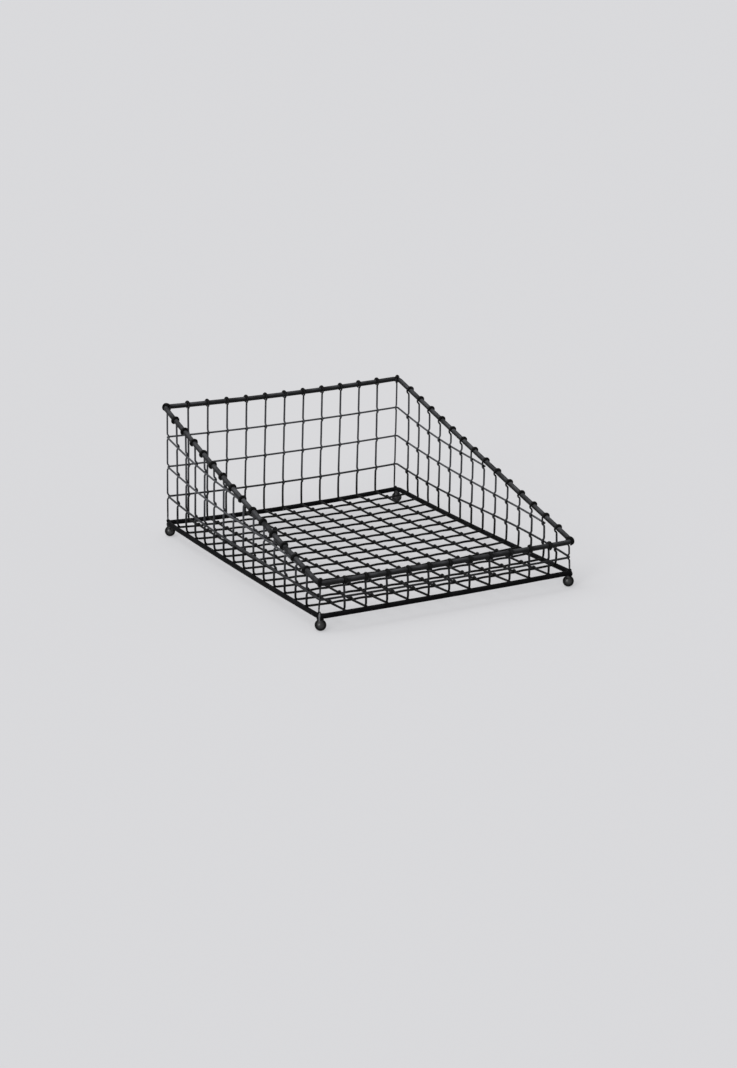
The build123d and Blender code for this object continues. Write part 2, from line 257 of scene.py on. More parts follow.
def loop(half_width, half_length, height, uphill, radius):
    """A closed rounded rectangle, from the middle of its back side."""
    left = X_DIR * -half_width
    front = Y_DIR * -half_length + Z_DIR * height(-half_length)
    back = Y_DIR * half_length + Z_DIR * height(half_length)
    return [[back], elbow(back + left, X_DIR * -1, uphill * -1, radius),
            elbow(front + left, uphill * -1, X_DIR, radius), elbow(front - left, X_DIR, uphill, radius),
            elbow(back - left, uphill, X_DIR * -1, radius), [back]]


def long_wire_stations(x):
    """Front rim, front wall, floor, back wall, back rim."""
    front_foot, back_foot = Vector((x, -WALL_Y, FLOOR_Z)), Vector((x, WALL_Y, FLOOR_Z))
    front_z, back_z = rim_z(-END_Y), rim_z(END_Y)
    return [
        *backwards([*upright(front_foot, Y_DIR, front_z - HOOK_LEAD, ring_heights(-WALL_Y)),
                    hook(Vector((x, -END_Y, front_z)), -Y_DIR, Z_DIR, HOOK_R)]),
        elbow(front_foot, -Z_DIR, Y_DIR, ELBOW_R),
        *[notch(Vector((x, y, FLOOR_Z)), Y_DIR, Z_DIR, CROSSING - CRIMP) for y in CROSS_WIRE_PLACES],
        elbow(back_foot, Y_DIR, Z_DIR, ELBOW_R),
        *upright(back_foot, -Y_DIR, back_z - HOOK_LEAD, ring_heights(WALL_Y)),
        hook(Vector((x, END_Y, back_z)), Y_DIR, Z_DIR, HOOK_R),
    ]


def side_stations(y, outward):
    """The upright and the hook of a cross wire on one side wall."""
    rod = Vector((0, y - LEAN_SHIFT, rim_z(y - LEAN_SHIFT))) + outward * SIDE_X
    foot = Vector((0, y, FLOOR_Z)) + outward * WALL_X
    return [*upright(foot, -outward, rod.z - LEAN_RISE, ring_heights(y)),
            lean(rod - outward * HOOK_R),
            hook(rod, outward, RIM_UP, HOOK_R)]


def cross_wire_stations(y):
    """Left rim, left wall, floor, right wall, right rim."""
    steps = (BAYS_ACROSS - 2) * CRIMP_STEPS
    start_x = LONG_WIRE_PLACES[0]
    waves = [Vector((start_x + MESH_PITCH * k / CRIMP_STEPS, y,
                     FLOOR_Z - CRIMP / 2 * (1 + cos(2 * pi * k / CRIMP_STEPS)))) for k in range(steps + 1)]
    return [
        *backwards(side_stations(y, -X_DIR)),
        elbow(Vector((-WALL_X, y, FLOOR_Z)), -Z_DIR, X_DIR, ELBOW_R),
        waves,
        elbow(Vector((WALL_X, y, FLOOR_Z)), X_DIR, Z_DIR, ELBOW_R),
        *side_stations(y, X_DIR),
    ]


def closed_ring_stations(ring):
    """A ring wire all the way round the walls."""
    return loop(WALL_X, WALL_Y, lambda y: ring_z(ring, y), climb(ring), RING_CORNER_R)


def open_ring_stations(number):
    """A ring wire along the left, back and right walls, a little past the last upright that it crosses."""
    ring = RINGS[number]
    crossed = [y for y in CROSS_WIRE_PLACES if len(ring_heights(y)) > number]
    left, right = ([Vector((x, y, ring_z(ring, y))) for y in [crossed[0] - RING_OVERRUN, *crossed]]
                   for x in (-WALL_X, WALL_X))
    return [
        left,
        elbow(Vector((-WALL_X, WALL_Y, ring_z(ring, WALL_Y))), climb(ring), X_DIR, RING_CORNER_R),
        elbow(Vector((WALL_X, WALL_Y, ring_z(ring, WALL_Y))), X_DIR, climb(ring) * -1, RING_CORNER_R),
        right[::-1],
    ]


def post_stations(corner, sx, sy):
    """Upright that stands on a corner of the base frame and hooks over the rim rod on the diagonal."""
    def leaned(point):
        return point + POST_LEAN[corner] * max(0.0, (post.z - point.z) / (post.z - BASE_Z))

    outward, rod_centre = outward_from(sx, sy), rim_corner(sx, sy)
    post = rod_centre - outward * POST_INSET
    foot = Vector((post.x, post.y, BASE_Z + ROD_R + WELD_GAP))
    ring_corner = Vector((sx * (SIDE_X - RING_CUT), sy * (END_Y - RING_CUT), post.z))
    depth, shift = (post - ring_corner).dot(outward) + CROSSING, POST_HOOK_R - POST_INSET
    stations = [
        [foot - Z_DIR],
        *upright(foot, -outward, post.z - HOOK_LEAD, ring_heights(ring_corner.y), depth, shift),
        hook(rod_centre, outward, Z_DIR, POST_HOOK_R),
    ]
    return [[leaned(point) for point in station] for station in stations]


def joined(stations, closed=False):
    """One row of points through the stations, with the straight runs divided."""
    points = []
    for station in stations:
        if points and (station[0] - points[-1]).length > SAME_POINT:
            start, run = points[-1].copy(), station[0] - points[-1]
            parts = max(1, round(run.length / RUN_STEP))
            points += [start + run * (k / parts) for k in range(1, parts)]
        points += station if not points or (station[0] - points[-1]).length > SAME_POINT else station[1:]
    return points[:-1] if closed else points


def share(value, low, high):
    """How far a value has come from low to high, from 0 to 1."""
    return max(0.0, min(1.0, (value - low) / (high - low)))


def arch(way, hold=2):
    """A bend that is whole at the middle, way 0, and gone at both corners, way -1 and 1."""
    return 1 - way ** hold


def ring_drop(point, across, along):
    """How far the bent ring wires pull a wall down at a point: wholly at a ring wire, not at the rods."""
    if max(abs(point.x) - WALL_X, abs(point.y) - WALL_Y) < -2 * NOTCH_R:
        return 0.0
    way, rim_height = (1 - along) / 2, rim_z(point.y)
    levels = [(BASE_Z + ROD_D, 0.0)]
    for number, ring in enumerate(RINGS):
        height = ring_z(ring, point.y)
        if height > rim_height - RING_RIM_DROP + RING_END_RISE:
            continue
        sag, sway = RING_SWAYS[number][across > 0]
        drop = sag * sin(pi * way) + sway * sin(2 * pi * way) - RING_LIFT * across ** 2 * (1 - way)
        if number == 0:
            drop += (LOW_RING_DROP + LOW_RING_DIP * arch(across)) * way
        if drop < 0:
            drop *= share(rim_height - height, RING_RIM_DROP, LIFT_FADE * RING_RIM_DROP)
        levels.append((height, drop))
    levels.append((rim_height - ROD_R / 2, 0.0))
    for (low, low_drop), (high, high_drop) in zip(levels, levels[1:]):
        if low <= point.z < high:
            return low_drop + (high_drop - low_drop) * share(point.z, low, high)
    return 0.0


def bay_bow(point, across, along):
    """How far the lowest bay of a wall leans or bows sideways at a point, its welds with it."""
    height, room = point.z - BASE_Z, rim_z(point.y) - point.z
    low = (1 - share(height, *BOW_END)) * share(room, *BOW_RIM_ROOM)
    side = share(abs(point.x), WALL_X - BOW_BAND_BEGIN, WALL_X - BOW_BAND)
    end = share(abs(point.y), WALL_Y - MESH_PITCH, WALL_Y - BOW_BAND)
    evenly, by_depth = LEFT_BOW if across < 0 else RIGHT_BOW
    side_bow = side * share(height, *BOW_START) * (evenly + by_depth * along) * arch(along, SIDE_BOW_HOLD)
    end_lean = end * (BACK_LEAN if along > 0 else FRONT_LEAN) * arch(across, END_LEAN_HOLD)
    return low * (side_bow + end_lean)


def as_bent(point):
    """Where a point of the tray lies once hands and paper have bent it: walls sag, wires slide along rods."""
    across, along = max(-1.0, min(1.0, point.x / SIDE_X)), max(-1.0, min(1.0, point.y / END_Y))
    rise = share(point.z, BASE_Z, rim_z(point.y))
    near_base, near_rim = (1 - rise) ** ROD_HOLD, rise ** ROD_HOLD
    back, front, right, left = (1 + along) / 2, (1 - along) / 2, (1 + across) / 2, (1 - across) / 2
    ends_bow, sides_bow = arch(across), arch(along)

    def sag(wall, base_rod, rim_rod):
        return wall + base_rod * near_base + rim_rod * near_rim

    drop = (ends_bow * back * sag(*BACK_SAG) + ends_bow * front * sag(*FRONT_SAG)
            + sides_bow * right * sag(*RIGHT_SAG) + sides_bow * left * sag(*LEFT_SAG)
            + FLOOR_SAG * ends_bow * arch(along, FLOOR_HOLD) * (1 - rise) + ring_drop(point, across, along))
    slide_x = arch(across, SLIDE_X_HOLD) * (back * BACK_SLIDE * (1 - rise)
                                            + front * FRONT_SLIDE * (2 * rise - 1))
    slide_y = arch(along, SLIDE_Y_HOLD) * (left * LEFT_SLIDE * (1 - rise)
                                           + right ** 2 * RIGHT_SLIDE * max(0.0, -along))
    pinch = RIGHT_PINCH * sides_bow * right * across ** 2 * (1 - rise)
    bulge = BACK_BULGE * ends_bow * back * along ** 2 * 4 * rise * (1 - rise)
    return point + Vector((slide_x - pinch + bay_bow(point, across, along), slide_y + bulge, -drop))


def near_rods(point):
    """How close a wire runs to a rod, from 0 to 1: its paint is thin and stays black there."""
    side, end = abs(abs(point.x) - SIDE_X), abs(abs(point.y) - END_Y)
    end_rim_z = rim_z(END_Y if point.y > 0 else -END_Y)
    gap = min(hypot(side, point.z - rim_z(point.y)), hypot(end, point.z - end_rim_z),
              hypot(side, point.z - BASE_Z), hypot(end, point.z - BASE_Z))
    return share(GATHER_REACH - gap, 0.0, GATHER_REACH - HOOK_R)


# ---- Node helpers ----
def place(tree, kind, inputs=None, **settings):
    """A node in a tree, its inputs set to values or joined to sockets."""
    node = tree.nodes.new(kind)
    for key, value in settings.items():
        setattr(node, key, value)
    for key, value in (inputs or {}).items():
        if isinstance(value, bpy.types.NodeSocket):
            tree.links.new(value, node.inputs[key])
        else:
            node.inputs[key].default_value = value
    return node


def maths(tree, operation, a, b=0.0, c=0.0):
    """The result of one sum."""
    return place(tree, "ShaderNodeMath", {0: a, 1: b, 2: c}, operation=operation).outputs[0]


def scaled(tree, vector, factor):
    """A vector made longer or shorter."""
    return place(tree, "ShaderNodeVectorMath", {0: vector, "Scale": factor}, operation="SCALE").outputs[0]


def mapped(tree, value, low, high, **settings):
    """A value taken from the range low to high onto 0 to 1, and kept there."""
    return place(tree, "ShaderNodeMapRange", {"Value": value, "From Min": low, "From Max": high},
                 **settings).outputs[0]


def blended(tree, factor, first, second):
    """A colour between two."""
    return place(tree, "ShaderNodeMix", {0: factor, 6: first, 7: second}, data_type="RGBA").outputs[2]


def speckle(tree, where, size, detail, rough=0.6):
    """A noise whose features are about as large as a size in millimetres."""
    scale = maths(tree, "DIVIDE", 1 / MM, size)
    return place(tree, "ShaderNodeTexNoise", {"Vector": where, "Scale": scale, "Detail": detail,
                                              "Roughness": rough}).outputs["Fac"]


def new_group(name, kind, inputs, outputs):
    """A node group with named sockets, and its input and output sockets."""
    tree = bpy.data.node_groups.new(name, kind)
    for label, socket_type, value in inputs:
        socket = tree.interface.new_socket(label, in_out="INPUT", socket_type=socket_type)
        if value is not None:
            socket.default_value = value
    for label, socket_type in outputs:
        tree.interface.new_socket(label, in_out="OUTPUT", socket_type=socket_type)
    return tree, tree.nodes.new("NodeGroupInput").outputs, tree.nodes.new("NodeGroupOutput").inputs


VECTOR, FLOAT, WHOLE = "NodeSocketVector", "NodeSocketFloat", "NodeSocketInt"
GEOMETRY, FINISH = "NodeSocketGeometry", "NodeSocketMaterial"


# ---- Finishes ----
def paint_skin():
    """Height of a dipped paint: fine orange peel on slow lumps."""
    tree, given, out = new_group(
        "paint skin", "ShaderNodeTree",
        (("Vector", VECTOR, None), ("Peel Size", FLOAT, 0.7), ("Peel Depth", FLOAT, 0.02),
         ("Lump Size", FLOAT, 5.0), ("Lump Depth", FLOAT, 0.06)), (("Height", FLOAT),))

    def unevenness(kind, detail):
        bumps = speckle(tree, given["Vector"], given[kind + " Size"], detail)
        return maths(tree, "MULTIPLY", bumps, given[kind + " Depth"])

    tree.links.new(maths(tree, "ADD", unevenness("Peel", 3.0), unevenness("Lump", 1.0)), out["Height"])
    return tree


def dust_and_top_light():
    """Where pale dust lies, with a painted highlight from the light above: on what faces up, in soft patches.
    """
    tree, given, out = new_group(
        "dust and top light", "ShaderNodeTree",
        (("Vector", VECTOR, None), ("Cover", FLOAT, 0.3), ("Patch Size", FLOAT, 14.0)), (("Dust And Top Light", FLOAT),))
    normal = place(tree, "ShaderNodeNewGeometry").outputs["Normal"]
    up = place(tree, "ShaderNodeSeparateXYZ", {0: normal}).outputs["Z"]
    facing = mapped(tree, up, *DUST_AND_LIGHT_SLOPES, interpolation_type="SMOOTHSTEP")
    patches = mapped(tree, speckle(tree, given["Vector"], given["Patch Size"], detail=5.0), *DUST_AND_LIGHT_PATCHES)
    cover = maths(tree, "MULTIPLY", maths(tree, "MULTIPLY", facing, patches), given["Cover"])
    tree.links.new(cover, out["Dust And Top Light"])
    return tree


def rubbed_spots():
    """Where the paint is rubbed thin: ragged spots on what the rub value marks."""
    tree, given, out = new_group(
        "rubbed spots", "ShaderNodeTree",
        (("Vector", VECTOR, None), ("Rub", FLOAT, 0.5), ("Spot Size", FLOAT, 1.6)), (("Bare", FLOAT),))
    ragged = speckle(tree, given["Vector"], given["Spot Size"], detail=6.0, rough=0.7)
    worn = maths(tree, "MULTIPLY_ADD", given["Rub"], RUB_WEIGHT, ragged)
    tree.links.new(mapped(tree, worn, *BARE_SPAN), out["Bare"])
    return tree


SKIN, DUST_AND_TOP_LIGHT, RUB = paint_skin(), dust_and_top_light(), rubbed_spots()


def iron_paint(name, dark, light, fading, dust_and_light_cover, rub, roughness, sheen, peel, lumps, coat=0.0):
    """Black iron paint: two close tones, faded, with dust and a painted highlight on top and painted shade
    low down, with bare specks where it is rubbed.
    """
    material = bpy.data.materials.new(name)
    material.use_nodes = True
    tree = material.node_tree
    tree.nodes.clear()

    def effect(group, inputs, output):
        return place(tree, "ShaderNodeGroup", {"Vector": where, **inputs}, node_tree=group).outputs[output]

    where = place(tree, "ShaderNodeTexCoord").outputs["Object"]
    marked = place(tree, "ShaderNodeAttribute", attribute_name="rub").outputs["Fac"]
    gathered = place(tree, "ShaderNodeAttribute", attribute_name="gather").outputs["Fac"]
    tone = speckle(tree, where, TONE_PATCH, detail=4.0)
    height = place(tree, "ShaderNodeSeparateXYZ", {0: where}).outputs["Z"]
    # low down the paint stays fresh black and keeps little dust: painted shade on the floor mesh and the base
    above = mapped(tree, height, SHADED_BELOW * MM, PALER_ABOVE * MM)
    fresh = blended(tree, mapped(tree, tone, *TONE_SPAN), (*dark, 1), (*light, 1))
    open_air = maths(tree, "MULTIPLY_ADD", gathered, -GATHERED_COVER, 1.0)
    faded = maths(tree, "MULTIPLY", maths(tree, "MULTIPLY", above, fading), open_air)
    base = blended(tree, faded, fresh, (*FADED_BLACK, 1))
    # pale grey on what faces up: dust, and a painted highlight from the light above
    dust_and_light = effect(DUST_AND_TOP_LIGHT, {"Cover": dust_and_light_cover}, "Dust And Top Light")
    # the share of dust and highlight kept by height; what is left out low down is painted shade
    unshaded_share = maths(tree, "MULTIPLY_ADD", above, 1 - SHADED_DUST_SHARE, SHADED_DUST_SHARE)
    kept = maths(tree, "MULTIPLY", dust_and_light, maths(tree, "MULTIPLY", unshaded_share, open_air))
    dusty_and_lit = blended(tree, kept, base, (*DUST_AND_HIGHLIGHT_GREY, 1))
    spots = effect(RUB, {"Rub": maths(tree, "ADD", marked, rub)}, "Bare")
    color = blended(tree, spots, dusty_and_lit, (*BARE_METAL, 1))
    haze = maths(tree, "MULTIPLY_ADD", tone, UNEVEN_GLOSS, roughness - UNEVEN_GLOSS / 2)
    under_dust = maths(tree, "MULTIPLY_ADD", kept, DUST_ROUGHENS, haze)
    rough = maths(tree, "MULTIPLY_ADD", spots, -BARE_SMOOTHS, under_dust)
    skin = effect(SKIN, {"Peel Size": peel[0], "Peel Depth": peel[1],
                         "Lump Size": lumps[0], "Lump Depth": lumps[1]}, "Height")
    bump = place(tree, "ShaderNodeBump", {"Height": skin, "Strength": 1.0, "Distance": MM})
    if coat:
        aslant = place(tree, "ShaderNodeLayerWeight", {"Blend": COAT_BLEND}).outputs["Facing"]
        coat = maths(tree, "MULTIPLY_ADD", mapped(tree, aslant, *COAT_FADE), -coat, coat)
    shader = place(tree, "ShaderNodeBsdfPrincipled", {
        "Base Color": color, "Roughness": rough, "Metallic": maths(tree, "MULTIPLY", spots, BARE_METALLIC),
        "Specular IOR Level": sheen, "Normal": bump.outputs["Normal"],
        "Coat Weight": coat, "Coat Roughness": COAT_ROUGHNESS, "Coat IOR": COAT_IOR})
    place(tree, "ShaderNodeOutputMaterial", {"Surface": shader.outputs[0]})
    return material


ROD_PAINT = iron_paint(
    "rod paint", (0.004, 0.004, 0.004), (0.010, 0.010, 0.010), fading=0.12, dust_and_light_cover=0.36, rub=0.10,
    roughness=0.42, sheen=0.06, peel=(0.8, 0.020), lumps=(6.0, 0.10))
# The base frame rod's paint is the rim rod's paint made darker and less glossy: painted shade for a rod that
# lies low.
SHADED_BASE_PAINT = iron_paint(
    "shaded base frame paint", (0.002, 0.002, 0.002), (0.005, 0.005, 0.006), fading=0.0, dust_and_light_cover=0.20, rub=0.04,
    roughness=0.48, sheen=0.02, peel=(0.8, 0.020), lumps=(6.0, 0.10))
# A paler, glossier paint with bare metal specks all along, for the pale strip on the front left corner.
PALE_RUN_PAINT = iron_paint(
    "pale weld run", (0.020, 0.020, 0.021), (0.050, 0.051, 0.054), fading=0.0, dust_and_light_cover=0.2, rub=0.30,
    roughness=0.46, sheen=0.30, peel=(0.8, 0.020), lumps=(3.0, 0.08))
WIRE_PAINT = iron_paint(
    "wire paint", (0.003, 0.003, 0.003), (0.008, 0.008, 0.008), fading=1.0, dust_and_light_cover=0.30, rub=0.0,
    roughness=0.44, sheen=0.06, peel=(0.6, 0.016), lumps=(3.0, 0.07))
WELD_PAINT = iron_paint(
    "weld paint", (0.002, 0.002, 0.002), (0.006, 0.006, 0.006), fading=0.0, dust_and_light_cover=0.05, rub=0.03,
    roughness=0.46, sheen=0.06, peel=(0.6, 0.020), lumps=(1.6, 0.08))
FOOT_PAINT = iron_paint(
    "foot paint", (0.003, 0.003, 0.003), (0.007, 0.007, 0.007), fading=0.0, dust_and_light_cover=0.04, rub=0.16,
    roughness=0.42, sheen=0.03, peel=(0.8, 0.020), lumps=(5.0, 0.10), coat=1.0)


# ---- Wires and rods: a round section swept along each centre line ----
def sweep_tree():
    """Turns a row of points into a wire: wander, paint swell, round section, closed ends."""
    tree, given, out = new_group("painted wire", "GeometryNodeTree", (
        ("Geometry", GEOMETRY, None), ("Wire Radius", FLOAT, WIRE_R * MM), ("Sides", WHOLE, WIRE_SIDES),
        ("Wander", FLOAT, 0.0), ("Wander Length", FLOAT, 0.03), ("Swell", FLOAT, 0.0),
        ("Swell Length", FLOAT, 0.01), ("Seed", WHOLE, 0), ("Paint", FINISH, None)),
        (("Geometry", GEOMETRY),))
    line = place(tree, "GeometryNodeMeshToCurve", {"Mesh": given["Geometry"]}).outputs[0]
    spot = place(tree, "GeometryNodeInputPosition").outputs[0]

    def noise(length, detail):
        return place(tree, "ShaderNodeTexNoise", {"Vector": spot, "W": given["Seed"], "Detail": detail,
                                                  "Scale": maths(tree, "DIVIDE", 1.0, length)},
                     noise_dimensions="4D").outputs

    drift = place(tree, "ShaderNodeVectorMath", {0: noise(given["Wander Length"], 1.0)["Color"],
                                                 1: (0.5, 0.5, 0.5)}, operation="SUBTRACT").outputs[0]
    shift = scaled(tree, drift, given["Wander"])
    bent = place(tree, "GeometryNodeSetPosition", {"Geometry": line, "Offset": shift}).outputs[0]
    thick = maths(tree, "SUBTRACT", noise(given["Swell Length"], 2.0)["Fac"], 0.5)
    swell = maths(tree, "MULTIPLY_ADD", thick, given["Swell"], 1.0)
    scale = maths(tree, "MULTIPLY", place(tree, "GeometryNodeInputRadius").outputs[0], swell)
    ring = place(tree, "GeometryNodeCurvePrimitiveCircle", {"Resolution": given["Sides"],
                                                            "Radius": given["Wire Radius"]}).outputs[0]
    skin = place(tree, "GeometryNodeCurveToMesh", {"Curve": bent, "Profile Curve": ring, "Scale": scale,
                                                   "Fill Caps": True}).outputs[0]
    smooth = place(tree, "GeometryNodeSetShadeSmooth", {"Geometry": skin}).outputs[0]
    real = place(tree, "GeometryNodeRealizeInstances", {"Geometry": smooth}).outputs[0]
    done = place(tree, "GeometryNodeSetMaterial", {"Geometry": real, "Material": given["Paint"]}).outputs[0]
    tree.links.new(done, out["Geometry"])
    return tree


SWEEP = sweep_tree()


def grown(name, mesh, tree, settings):
    """The plain mesh that a node tree makes of a small starting mesh."""
    start = bpy.data.objects.new(name + "_start", mesh)
    bpy.context.scene.collection.objects.link(start)
    modifier = start.modifiers.new("nodes", "NODES")
    modifier.node_group = tree
    named = {item.name: item.identifier for item in tree.interface.items_tree if item.in_out == "INPUT"}
    for key, value in settings.items():
        modifier[named[key]] = value
    ready = start.evaluated_get(bpy.context.evaluated_depsgraph_get())
    made = bpy.data.meshes.new_from_object(ready)
    bpy.data.objects.remove(start)
    made.name = name
    piece = bpy.data.objects.new(name, made)
    bpy.context.scene.collection.objects.link(piece)
    return piece


def rounded_ends(points, wire_r):
    """The points of an open wire with its cut ends rounded off, and the radius and rub at each."""
    begin, end = points[0], points[-1]
    inner = [p for p in points if min((p - begin).length, (p - end).length) > END_CLEAR]
    angles = [pi / 2 * k / END_RINGS for k in range(END_RINGS)]
    depths = [END_ROUND * (1 - cos(angle)) for angle in angles]
    radii = [1 - END_ROUND / wire_r * (1 - sin(angle)) for angle in angles]
    first, last = (inner[0] - begin).normalized(), (inner[-1] - end).normalized()
    rubs = [max(0.0, 1 - min(k, len(inner) - 1 - k) / RUB_POINTS) for k in range(len(inner))]
    return ([begin + first * d for d in depths] + inner + [end + last * d for d in reversed(depths)],
            radii + [1.0] * len(inner) + radii[::-1],
            [1.0] * END_RINGS + rubs + [1.0] * END_RINGS)


def tapered(count, tip, growth):
    """Shares of the full thickness along a row of points that is thinner at both tips."""
    return [min(1.0, tip + growth * min(k, count - 1 - k)) for k in range(count)]


def swept(name, rows, wire_r, paint, wander, uneven, seed, sides=WIRE_SIDES):
    """One piece of round wire along rows of points, each given with its values and whether it closes."""
    spots, edges = [], []
    values = {"radius": [], "rub": [], "gather": []}
    for points, row_values, closed in rows:
        first, last = len(spots), len(spots) + len(points) - 1
        edges += [(k, k + 1) for k in range(first, last)] + ([(last, first)] if closed else [])
        spots += [as_bent(point) * MM for point in points]
        for label, row in row_values.items():
            values[label] += row
    mesh = bpy.data.meshes.new(name + "_line")
    mesh.from_pydata(spots, edges, [])
    for label, row in values.items():
        mesh.attributes.new(label, "FLOAT", "POINT").data.foreach_set("value", row)
    piece = grown(name, mesh, SWEEP, {
        "Wire Radius": wire_r * MM, "Sides": sides,
        "Wander": wander * 2 * MM, "Wander Length": WANDER_LENGTH * MM,
        "Swell": uneven * 2, "Swell Length": UNEVEN_LENGTH * MM, "Seed": seed, "Paint": paint})
    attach(piece, "root")
    return piece


def drawn_wire(node, stations, seed, closed=False, low_swell=FLOOR_SWELL, high_swell=WALL_SWELL, rub=0.0):
    """A thin wire along its stations, standing for the CAD node of that name."""
    points = joined(stations, closed)
    radii, rubs = [1.0] * len(points), [0.0] * len(points)
    if not closed:
        points, radii, rubs = rounded_ends(points, WIRE_R)
    gathers = [near_rods(point) for point in points]
    radii = [radius * (1 + GATHER_SWELL * gather + low_swell
                       - (low_swell - high_swell) * share(point.z, SHADED_BELOW, PALER_ABOVE))
             for point, radius, gather in zip(points, radii, gathers)]
    values = {"radius": radii, "rub": [max(rub, near_end) for near_end in rubs], "gather": gathers}
    piece = swept(node + "_painted", [(points, values, closed)], WIRE_R, WIRE_PAINT,
                  WIRE_WANDER, WIRE_UNEVEN, seed)
    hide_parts(node)


def drawn_rod(node, stations, paint, seed):
    """A closed thick rod along its stations, standing for the CAD node of that name."""
    points = joined(stations, closed=True)
    weld = [max(0.0, 1 - abs(point.x) / BUTT_WELD_REACH) if point.y > END_Y - ROD_R else 0.0
            for point in points]
    values = {"radius": [1 + BUTT_WELD_SWELL * near for near in weld], "rub": weld,
              "gather": [0.0] * len(points)}
    piece = swept(node + "_painted", [(points, values, True)], ROD_R, paint,
                  ROD_WANDER, ROD_UNEVEN, seed, ROD_SIDES)
    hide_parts(node)


drawn_rod("rim_rod", loop(SIDE_X, END_Y, rim_z, RIM_BACK, ROD_CORNER_R), ROD_PAINT, seed=1)
drawn_rod("base_frame_rod", loop(SIDE_X, END_Y, lambda y: BASE_Z, Y_DIR, ROD_CORNER_R), SHADED_BASE_PAINT, seed=2)
for k, x in enumerate(LONG_WIRE_PLACES, start=1):
    drawn_wire(f"long_wire_{k:02d}", long_wire_stations(x), seed=10 + k)
for k, y in enumerate(CROSS_WIRE_PLACES, start=1):
    drawn_wire(f"cross_wire_{k:02d}", cross_wire_stations(y), seed=30 + k)
drawn_wire("ring_wire_low", closed_ring_stations(RINGS[0]), seed=51, closed=True)
drawn_wire("ring_wire_mid", open_ring_stations(1), seed=52)
drawn_wire("ring_wire_high", open_ring_stations(2), seed=53)
for k, (corner, (sx, sy)) in enumerate(CORNERS.items()):
    drawn_wire(f"corner_post_{corner}", post_stations(corner, sx, sy), seed=60 + k,
               low_swell=POST_SWELL, high_swell=POST_SWELL, rub=POST_RUB)
    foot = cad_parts[f"foot_{corner}"]
    foot.data.materials.clear()
    foot.data.materials.append(FOOT_PAINT)


# ---- Welds: a lump of weld and paint wherever two pieces touch ----
def weld_tree():
    """Sets a lump on every point, turned along its wire, sized by its size, and roughens its skin."""
    tree, given, out = new_group("weld lumps", "GeometryNodeTree", (
        ("Geometry", GEOMETRY, None), ("Roughen", FLOAT, 0.0002), ("Roughen Length", FLOAT, 0.0016),
        ("Size Spread", FLOAT, 0.15), ("Seed", WHOLE, 0), ("Paint", FINISH, None)), (("Geometry", GEOMETRY),))

    def kept_vector(name):
        return place(tree, "GeometryNodeInputNamedAttribute", {"Name": name},
                     data_type="FLOAT_VECTOR").outputs[0]

    turned = place(tree, "FunctionNodeAxesToRotation", {"Primary Axis": kept_vector("along"),
                                                        "Secondary Axis": kept_vector("out")},
                   primary_axis="X", secondary_axis="Z").outputs[0]
    spread = place(tree, "FunctionNodeRandomValue", {2: maths(tree, "SUBTRACT", 1.0, given["Size Spread"]),
                                                     3: maths(tree, "ADD", 1.0, given["Size Spread"]),
                                                     "Seed": given["Seed"]}, data_type="FLOAT").outputs[1]
    size = scaled(tree, kept_vector("size"), spread)
    ball = place(tree, "GeometryNodeMeshIcoSphere", {"Radius": 1.0, "Subdivisions": 2}).outputs[0]
    set_down = place(tree, "GeometryNodeInstanceOnPoints", {"Points": given["Geometry"], "Instance": ball,
                                                            "Rotation": turned, "Scale": size}).outputs[0]
    real = place(tree, "GeometryNodeRealizeInstances", {"Geometry": set_down}).outputs[0]
    spot = place(tree, "GeometryNodeInputPosition").outputs[0]
    rough = place(tree, "ShaderNodeTexNoise", {"Vector": spot, "Detail": 1.0,
                                               "Scale": maths(tree, "DIVIDE", 1.0, given["Roughen Length"])})
    lift = maths(tree, "MULTIPLY", maths(tree, "SUBTRACT", rough.outputs["Fac"], 0.5), given["Roughen"])
    normal = place(tree, "GeometryNodeInputNormal").outputs[0]
    lumpy = place(tree, "GeometryNodeSetPosition", {"Geometry": real,
                                                    "Offset": scaled(tree, normal, lift)}).outputs[0]
    smooth = place(tree, "GeometryNodeSetShadeSmooth", {"Geometry": lumpy}).outputs[0]
    done = place(tree, "GeometryNodeSetMaterial", {"Geometry": smooth, "Material": given["Paint"]}).outputs[0]
    tree.links.new(done, out["Geometry"])
    return tree


WELDS = weld_tree()


def welds(name, lumps, seed, paint=WELD_PAINT):
    """One piece of weld lumps, each given as place, long axis, outward axis and size."""
    mesh = bpy.data.meshes.new(name + "_places")
    mesh.from_pydata([as_bent(spot) * MM for spot, _, _, _ in lumps], [], [])
    for label, values in (("along", [lump[1] for lump in lumps]), ("out", [lump[2] for lump in lumps]),
                          ("size", [Vector(lump[3]) * MM for lump in lumps])):
        flat = [number for value in values for number in value]
        mesh.attributes.new(label, "FLOAT_VECTOR", "POINT").data.foreach_set("vector", flat)
    piece = grown(name, mesh, WELDS, {"Roughen": ROUGHEN * MM, "Roughen Length": ROUGHEN_LENGTH * MM,
                                      "Size Spread": SIZE_SPREAD, "Seed": seed, "Paint": paint})
    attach(piece, "root")
    return piece


def floor_welds():
    """Where a long wire bumps over a cross wire."""
    z = FLOOR_Z + CROSSING / 2 - CRIMP
    return [(Vector((x, y, z)), Y_DIR, Z_DIR, FLOOR_LUMP)
            for x in LONG_WIRE_PLACES for y in CROSS_WIRE_PLACES]


